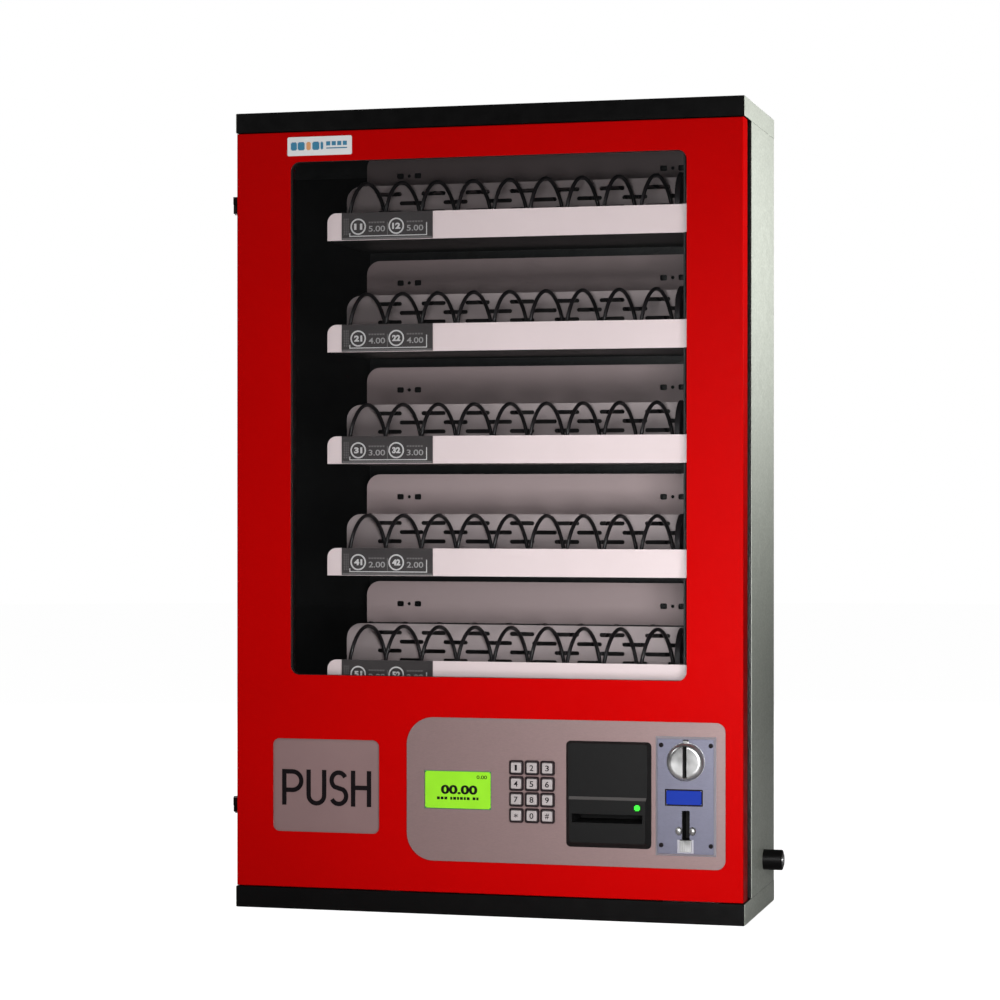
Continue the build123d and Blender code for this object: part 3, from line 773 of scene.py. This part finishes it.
# Widths of the dashes under the price, in mm; 0 is a word space.
DASH_WIDTHS = (3.2, 3.2, 3.2, 0, 2.4, 3.2, 2.4, 3.2, 2.4, 3.2, 0, 3.2, 2.4)
DASH_GAP = 1.0
WORD_SPACE = 2.4


def display():
    """Lime screen with generic digits, in a thin dark border."""
    front = lows("lcd_module").y
    face = front - SCREEN_RISE
    screen = bmesh.new()
    slab(screen, SCREEN_X, (face, front), SCREEN_Z, corner=1.2 * MM)
    finished("display_screen", screen, "door", LIME)
    clock_at = (SCREEN_X[1] - 9.8 * MM, face, SCREEN_Z[1] - 5.6 * MM)
    lettering("display_clock", "0.00", clock_at, 11.5 * MM, 3.8 * MM, "door", DARK)
    mid = sum(SCREEN_X) / 2
    price_at = (mid + 1.5 * MM, face, SCREEN_Z[0] + 20.3 * MM)
    lettering("display_price", "00.00", price_at, 41 * MM, 10 * MM, "door", DARK, bold=0.04)
    dashes = bmesh.new()
    left = mid - 23.5 * MM
    for wide in DASH_WIDTHS:
        if wide:
            slab(dashes, mm(0, wide, left), mm(-0.12, 0, face), mm(9.4, 12.4, SCREEN_Z[0]))
        left += (wide + DASH_GAP if wide else WORD_SPACE) * MM
    finished("display_dashes", dashes, "door", DARK)


BADGE_LEFT = -224.6 * MM
BADGE_FOOT = 391 * MM
BADGE_SIZE = (74.4, 20.8)
BADGE_THICK = 0.8 * MM
TEAL_BLOCKS = ((4, 11), (12, 20), (29, 37), (38.5, 41.5))
SAND_BLOCK = (22, 27)


def badge():
    """Plain white plate with generic coloured blocks at the door's top left."""
    y = lows("door_shell").y
    face = y - BADGE_THICK
    plate = bmesh.new()
    teal = bmesh.new()
    sand = bmesh.new()

    def block(bm, x, z, corner=0.0):
        slab(bm, mm(*x, BADGE_LEFT), mm(-0.2, 0, face), mm(*z, BADGE_FOOT), corner=corner)

    slab(plate, mm(0, BADGE_SIZE[0], BADGE_LEFT), (face, y), mm(0, BADGE_SIZE[1], BADGE_FOOT),
         corner=0.8 * MM)
    for x in TEAL_BLOCKS:
        block(teal, x, (6, 15), corner=1 * MM)
    block(sand, SAND_BLOCK, (6, 15), corner=1 * MM)
    for k in range(4):
        x = 45 + 6.4 * k
        block(teal, (x, x + 4.6), (10.4, 15))
    block(teal, (45, 69), (7, 8.2))
    finished("badge_plate", plate, "door", PLATE)
    finished("badge_teal", teal, "door", TEAL)
    finished("badge_sand", sand, "door", SAND)


LAMP_X = 171.3 * MM
LAMP_Z = -317 * MM
SLOT_EDGES = (-334.7 * MM, -324.7 * MM)
STEP_ENDS = mm(96.2, 180.6)
# The sloped strip over the bezel's ledge, lighter as a painted highlight: mm from the face, and mm up
# from the origin.
STEP_SECTION = ((-0.15, -309.4), (2.25, -306.4), (2.5, -306.7), (0.1, -309.7))


def bill_details():
    """Status light in its well, the lips of the note slot and the sloped strip above them, lighter as a
    painted highlight.
    """
    front = lows("bill_bezel").y

    def lamp(name, half, y, corner, finish):
        bm = bmesh.new()
        slab(bm, mm(-half, half, LAMP_X), y, mm(-half, half, LAMP_Z), corner=corner)
        finished(name, bm, "door", finish)

    lamp("lamp_well", 4.4, mm(-0.25, 0, front), 1.5 * MM, DARK)
    lamp("lamp_lens", 3.1, mm(-0.9, -0.2, front), 1.2 * MM, GREEN)
    lips = bmesh.new()
    for z in SLOT_EDGES:
        slab(lips, mm(99.0, 177.4), mm(-0.5, 0.6, front), mm(0, 0.6, z), bevel=0.15 * MM)
    finished("note_slot_lips", lips, "door", MOULD)
    bead = bmesh.new()
    ends = []
    for x in STEP_ENDS:
        ends.append([bead.verts.new((x, front + y * MM, z * MM)) for y, z in STEP_SECTION])
    bead.faces.new(ends[0])
    bead.faces.new(ends[1])
    for k in range(4):
        n = (k + 1) % 4
        bead.faces.new((ends[0][k], ends[0][n], ends[1][n], ends[1][k]))
    # Painted highlight: the strip is lighter than the bezel, standing in for light on the ledge.
    finished("bezel_step", bead, "door", LEDGE_HIGHLIGHT)


# Coin plate fittings, as (x range, z range) in mm.
RIM_SIDES = (((200.4, 202.0), (-314.2, -296.2)), ((239.8, 241.4), (-314.2, -296.2)),
             ((202.0, 239.8), (-297.8, -296.2)), ((202.0, 239.8), (-314.2, -312.6)))
WELL_SIDES = (((213.7, 216.0), (-364.3, -349.9)), ((229.0, 231.3), (-364.3, -349.9)),
              ((216.0, 229.0), (-364.3, -363.0)))
CHEEK_XS = (215.4 * MM, 230.4 * MM)
CHEEK_Z = -340.6 * MM
CHEEK_STRETCH = 1.25
COIN_SCREW_XS = (196.4 * MM, 250.0 * MM)
COIN_SCREW_ZS = (-249.5 * MM, -356.0 * MM)


def return_cheeks(face):
    """Two polished bosses, taller than wide, that flank the return slot."""
    bm = bmesh.new()
    profile = []
    for k in range(9):
        angle = math.pi / 2 * k / 8
        profile.append((3.8 * MM * math.cos(angle), 3.0 * MM * math.sin(angle)))
    for x in CHEEK_XS:
        turned(bm, profile, (x, face, CHEEK_Z), sides=28)
    for vert in bm.verts:
        vert.co.z = CHEEK_Z + CHEEK_STRETCH * (vert.co.z - CHEEK_Z)
    finished("return_cheeks", bm, "door", CHROME, smooth_angle=60)


def coin_details():
    """Blue window, return cheeks, ribs on the coin rest and four screws."""
    face = lows("coin_plate").y
    lens = bmesh.new()
    slab(lens, mm(202.0, 239.8), mm(-0.6, 1.2, face), mm(-312.6, -297.8), bevel=0.7 * MM)
    finished("window_lens", lens, "door", BLUE)
    rim = bmesh.new()
    for x, z in RIM_SIDES:
        slab(rim, mm(*x), mm(0.1, 1.2, face), mm(*z), bevel=0.2 * MM)
    finished("window_rim", rim, "door", DARK)
    return_cheeks(face)
    ribs = bmesh.new()
    for k in range(5):
        x = 216.5 + 2.5 * k
        slab(ribs, mm(x, x + 1.7), mm(-0.6, 0.7, face), mm(-362.6, -350.8), bevel=0.4 * MM)
    slab(ribs, mm(216.2, 228.8), mm(0.3, 0.55, face), mm(-362.7, -350.7))
    finished("coin_rest_ribs", ribs, "door", CHROME)
    well = bmesh.new()
    for x, z in WELL_SIDES:
        slab(well, mm(*x), mm(0.9, 1.4, face), mm(*z), bevel=0.1 * MM)
    finished("coin_rest_well", well, "door", COIN)
    screws = bmesh.new()
    for x in COIN_SCREW_XS:
        for z in COIN_SCREW_ZS:
            pan_screw(screws, (x, face, z), radius=2.5 * MM, height=0.9 * MM)
    finished("coin_plate_screws", screws, "door", DARK)


# ---------------------------------------------------------------- cabinet details
SEAL_INSET = 1.5 * MM
SEAL_WIDE = 5 * MM
SEAL_THICK = 0.8 * MM
CHEEK_THICK = 0.25 * MM
KNUCKLE_TO_FACE = 4.8 * MM


def seal():
    """Foam seal on the neck's front face."""
    low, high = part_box("front_frame")
    y = (low.y - SEAL_THICK, low.y)
    x0, x1 = low.x + SEAL_INSET, high.x - SEAL_INSET
    z0, z1 = low.z + SEAL_INSET, high.z - SEAL_INSET
    bm = bmesh.new()
    for x in ((x0, x0 + SEAL_WIDE), (x1 - SEAL_WIDE, x1)):
        slab(bm, x, y, (z0, z1), bevel=0.25 * MM)
    for z in ((z0, z0 + SEAL_WIDE), (z1 - SEAL_WIDE, z1)):
        slab(bm, (x0 + SEAL_WIDE, x1 - SEAL_WIDE), y, z, bevel=0.25 * MM)
    finished("door_seal", bm, "cabinet", RUBBER)


def cap_cheeks():
    """Hammered skins that carry the side panels' colour over the ends of both caps."""
    bm = bmesh.new()
    for cap in ("top_cap", "base_cap"):
        low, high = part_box(cap)
        for x in ((low.x - CHEEK_THICK, low.x), (high.x, high.x + CHEEK_THICK)):
            slab(bm, x, (low.y + 0.3 * MM, high.y), (low.z + 0.2 * MM, high.z - 0.2 * MM),
                 bevel=0.08 * MM)
    finished("cap_cheeks", bm, "cabinet", HAMMER)


def hinge_screws():
    """Screws that hold the hinge leaves."""
    bm = bmesh.new()
    low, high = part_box("hinge_leaves_cabinet")
    for z in (low.z + 4.1 * MM, high.z - 4.1 * MM):
        for y in (high.y - 8 * MM, high.y - 34 * MM):
            pan_screw(bm, (low.x + KNUCKLE_TO_FACE, y, z), axis="X", sign=-1, radius=2.4 * MM,
                      height=1.2 * MM)
    finished("hinge_screws", bm, "cabinet", STEEL)


# Chips on the main board: left, foot, width and height in mm from the board's lowest corner.
CHIPS = ((20, 60, 22, 22), (60, 70, 14, 9), (60, 50, 14, 9), (100, 30, 18, 12), (95, 78, 10, 6))
CAPACITORS = ((128, 60), (128, 74), (140, 67))
CAN_PROFILE = [(0, 12 * MM), (3.2 * MM, 12 * MM), (4 * MM, 11.4 * MM), (4 * MM, 1 * MM),
               (3.6 * MM, 0), (0, 0)]


def board_details():
    """Chips, connectors and capacitors on the main board."""
    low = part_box("controller_board")[0]
    chips = bmesh.new()
    for x, z, wide, tall in CHIPS:
        slab(chips, mm(x, x + wide, low.x), mm(-2, 0, low.y), mm(z, z + tall, low.z), bevel=0.3 * MM)
    finished("board_chips", chips, "cabinet", DARK)
    sockets = bmesh.new()
    for k in range(8):
        x = 12 + 16 * k
        slab(sockets, mm(x, x + 12, low.x), mm(-8, 0, low.y), mm(6, 12, low.z), bevel=0.5 * MM)
    finished("board_sockets", sockets, "cabinet", PLATE)
    cans = bmesh.new()
    for x, z in CAPACITORS:
        turned(cans, CAN_PROFILE, (low.x + x * MM, low.y, low.z + z * MM), sides=24)
    finished("board_capacitors", cans, "cabinet", STEEL)


def tray_tabs():
    """Bent end of each lip, hooked over the motor panel's front edge."""
    bm = bmesh.new()
    panel_low, panel_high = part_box("motor_panel")
    for row in ROWS:
        low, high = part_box(f"tray_{row}")
        slab(bm, (high.x - 0.3 * MM, panel_high.x + 1.4 * MM), mm(-1, 0, panel_low.y),
             mm(0, 30.5, low.z), bevel=0.2 * MM)
    finished("tray_tabs", bm, "cabinet", WHITE)


def supply_details():
    """Vent louvres and fixing screws on the power supply."""
    low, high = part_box("power_supply")
    louvres = bmesh.new()
    for k in range(7):
        x = 12 + 10 * k
        slab(louvres, mm(x, x + 5, low.x), mm(-0.8, 0.2, low.y), (low.z + 14 * MM, high.z - 14 * MM),
             bevel=0.4 * MM)
    finished("supply_louvres", louvres, "cabinet", STEEL)
    screws = bmesh.new()
    for x in (low.x + 5 * MM, high.x - 5 * MM):
        for z in (low.z + 5 * MM, high.z - 5 * MM):
            pan_screw(screws, (x, low.y, z), radius=2 * MM)
    finished("supply_screws", screws, "cabinet", STEEL)


# The mains socket's centre, and its three blades' places round it, in mm.
SOCKET_X = 174
SOCKET_Y = -36
BLADES = ((-7, -2), (7, -2), (0, 4))


def inlet_pins():
    """Three contact blades in the mains socket."""
    floor_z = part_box("power_inlet")[0].z
    bm = bmesh.new()
    for dx, dy in BLADES:
        x = SOCKET_X + dx
        y = SOCKET_Y + dy
        slab(bm, mm(x - 1, x + 1), mm(y - 2, y + 2), mm(3, 17, floor_z), bevel=0.4 * MM)
    finished("inlet_blades", bm, "cabinet", BRASS)


# ---------------------------------------------------------------- build
product_pushers()
price_strips()
push_word()
key_legends()
display()
badge()
bill_details()
coin_details()
seal()
cap_cheeks()
hinge_screws()
board_details()
tray_tabs()
supply_details()
inlet_pins()


# ---------------------------------------------------------------- stage
FLOOR_RADIUS = 9.0
FLOOR_GLOW = 0.97
DIM_SURROUND = 0.035
LENS = 100.08
CAMERA_PLACE = (0.77633, -3.11321, 0.01273)
CAMERA_TILT = 89.974
CAMERA_TURN = 14.595


def floor():
    """Large pale floor under the cabinet's base, lifted to the surround's white."""
    bm = bmesh.new()
    z = lows("base_cap").z - 1 * MM
    turned(bm, [(0, 0), (FLOOR_RADIUS, 0)], (0, 0, z), axis="Z", sides=96, sign=1)
    mesh = from_bmesh("floor", bm)
    made = bpy.data.objects.new("floor", mesh)
    bpy.context.scene.collection.objects.link(made)
    pale = Paint("floor_pale", (0.5, 0.5, 0.5), 0.8, shine=0.1)
    seen = pale.node("ShaderNodeLightPath")
    level = pale.node("ShaderNodeMapRange")
    level.inputs["To Max"].default_value = FLOOR_GLOW
    pale.link(seen.outputs["Is Camera Ray"], level.inputs["Value"])
    pale.link(level.outputs["Result"], pale.shader.inputs["Emission Strength"])
    pale.shader.inputs["Emission Color"].default_value = (1, 1, 1, 1)
    mesh.materials.append(pale.mat)


def area_light(name, place, target, size, power):
    """Square soft light aimed at a point."""
    data = bpy.data.lights.new(name, "AREA")
    data.shape = "SQUARE"
    data.size = size
    data.energy = power
    made = bpy.data.objects.new(name, data)
    bpy.context.scene.collection.objects.link(made)
    made.location = place
    made.rotation_euler = (Vector(target) - Vector(place)).to_track_quat("-Z", "Y").to_euler()


def studio():
    """Soft lights from the front, the right side and behind, with a pale surround."""
    area_light("key_left", (-1.7, -1.7, 1.0), (0.0, -0.2, 0.0), 0.7, 11.5)
    area_light("fill_right", (0.42, -0.94, -0.19), (0.16, -0.15, -0.10), 0.3, 6.4)
    area_light("window_fill", (0.25, -1.40, 0.16), (0.03, 0.0, 0.16), 0.25, 3.5)
    area_light("side_light", (0.75, -0.10, 0.25), (0.28, -0.1, 0.70), 0.35, 4.4)
    area_light("back_fill", (-0.7, 2.3, 1.0), (0.0, 0.0, 0.0), 0.8, 24)
    world = bpy.data.worlds.new("surround")
    bpy.context.scene.world = world
    world.use_nodes = True
    tree = world.node_tree
    seen = tree.nodes.new("ShaderNodeLightPath")
    level = tree.nodes.new("ShaderNodeMapRange")
    level.inputs["To Min"].default_value = DIM_SURROUND
    level.inputs["To Max"].default_value = 1.0
    backdrop = tree.nodes["Background"]
    backdrop.inputs["Color"].default_value = (1, 1, 1, 1)
    tree.links.new(seen.outputs["Is Camera Ray"], level.inputs["Value"])
    tree.links.new(level.outputs["Result"], backdrop.inputs["Strength"])


def camera():
    """Long lens, level with the machine's middle and a little to its right."""
    data = bpy.data.cameras.new("viewpoint")
    data.sensor_width = 36
    data.lens = LENS
    data.clip_end = 50
    made = bpy.data.objects.new("viewpoint", data)
    bpy.context.scene.collection.objects.link(made)
    made.location = CAMERA_PLACE
    made.rotation_euler = (math.radians(CAMERA_TILT), 0, math.radians(CAMERA_TURN))
    bpy.context.scene.camera = made


floor()
studio()
camera()
bpy.context.scene.view_settings.view_transform = "Standard"
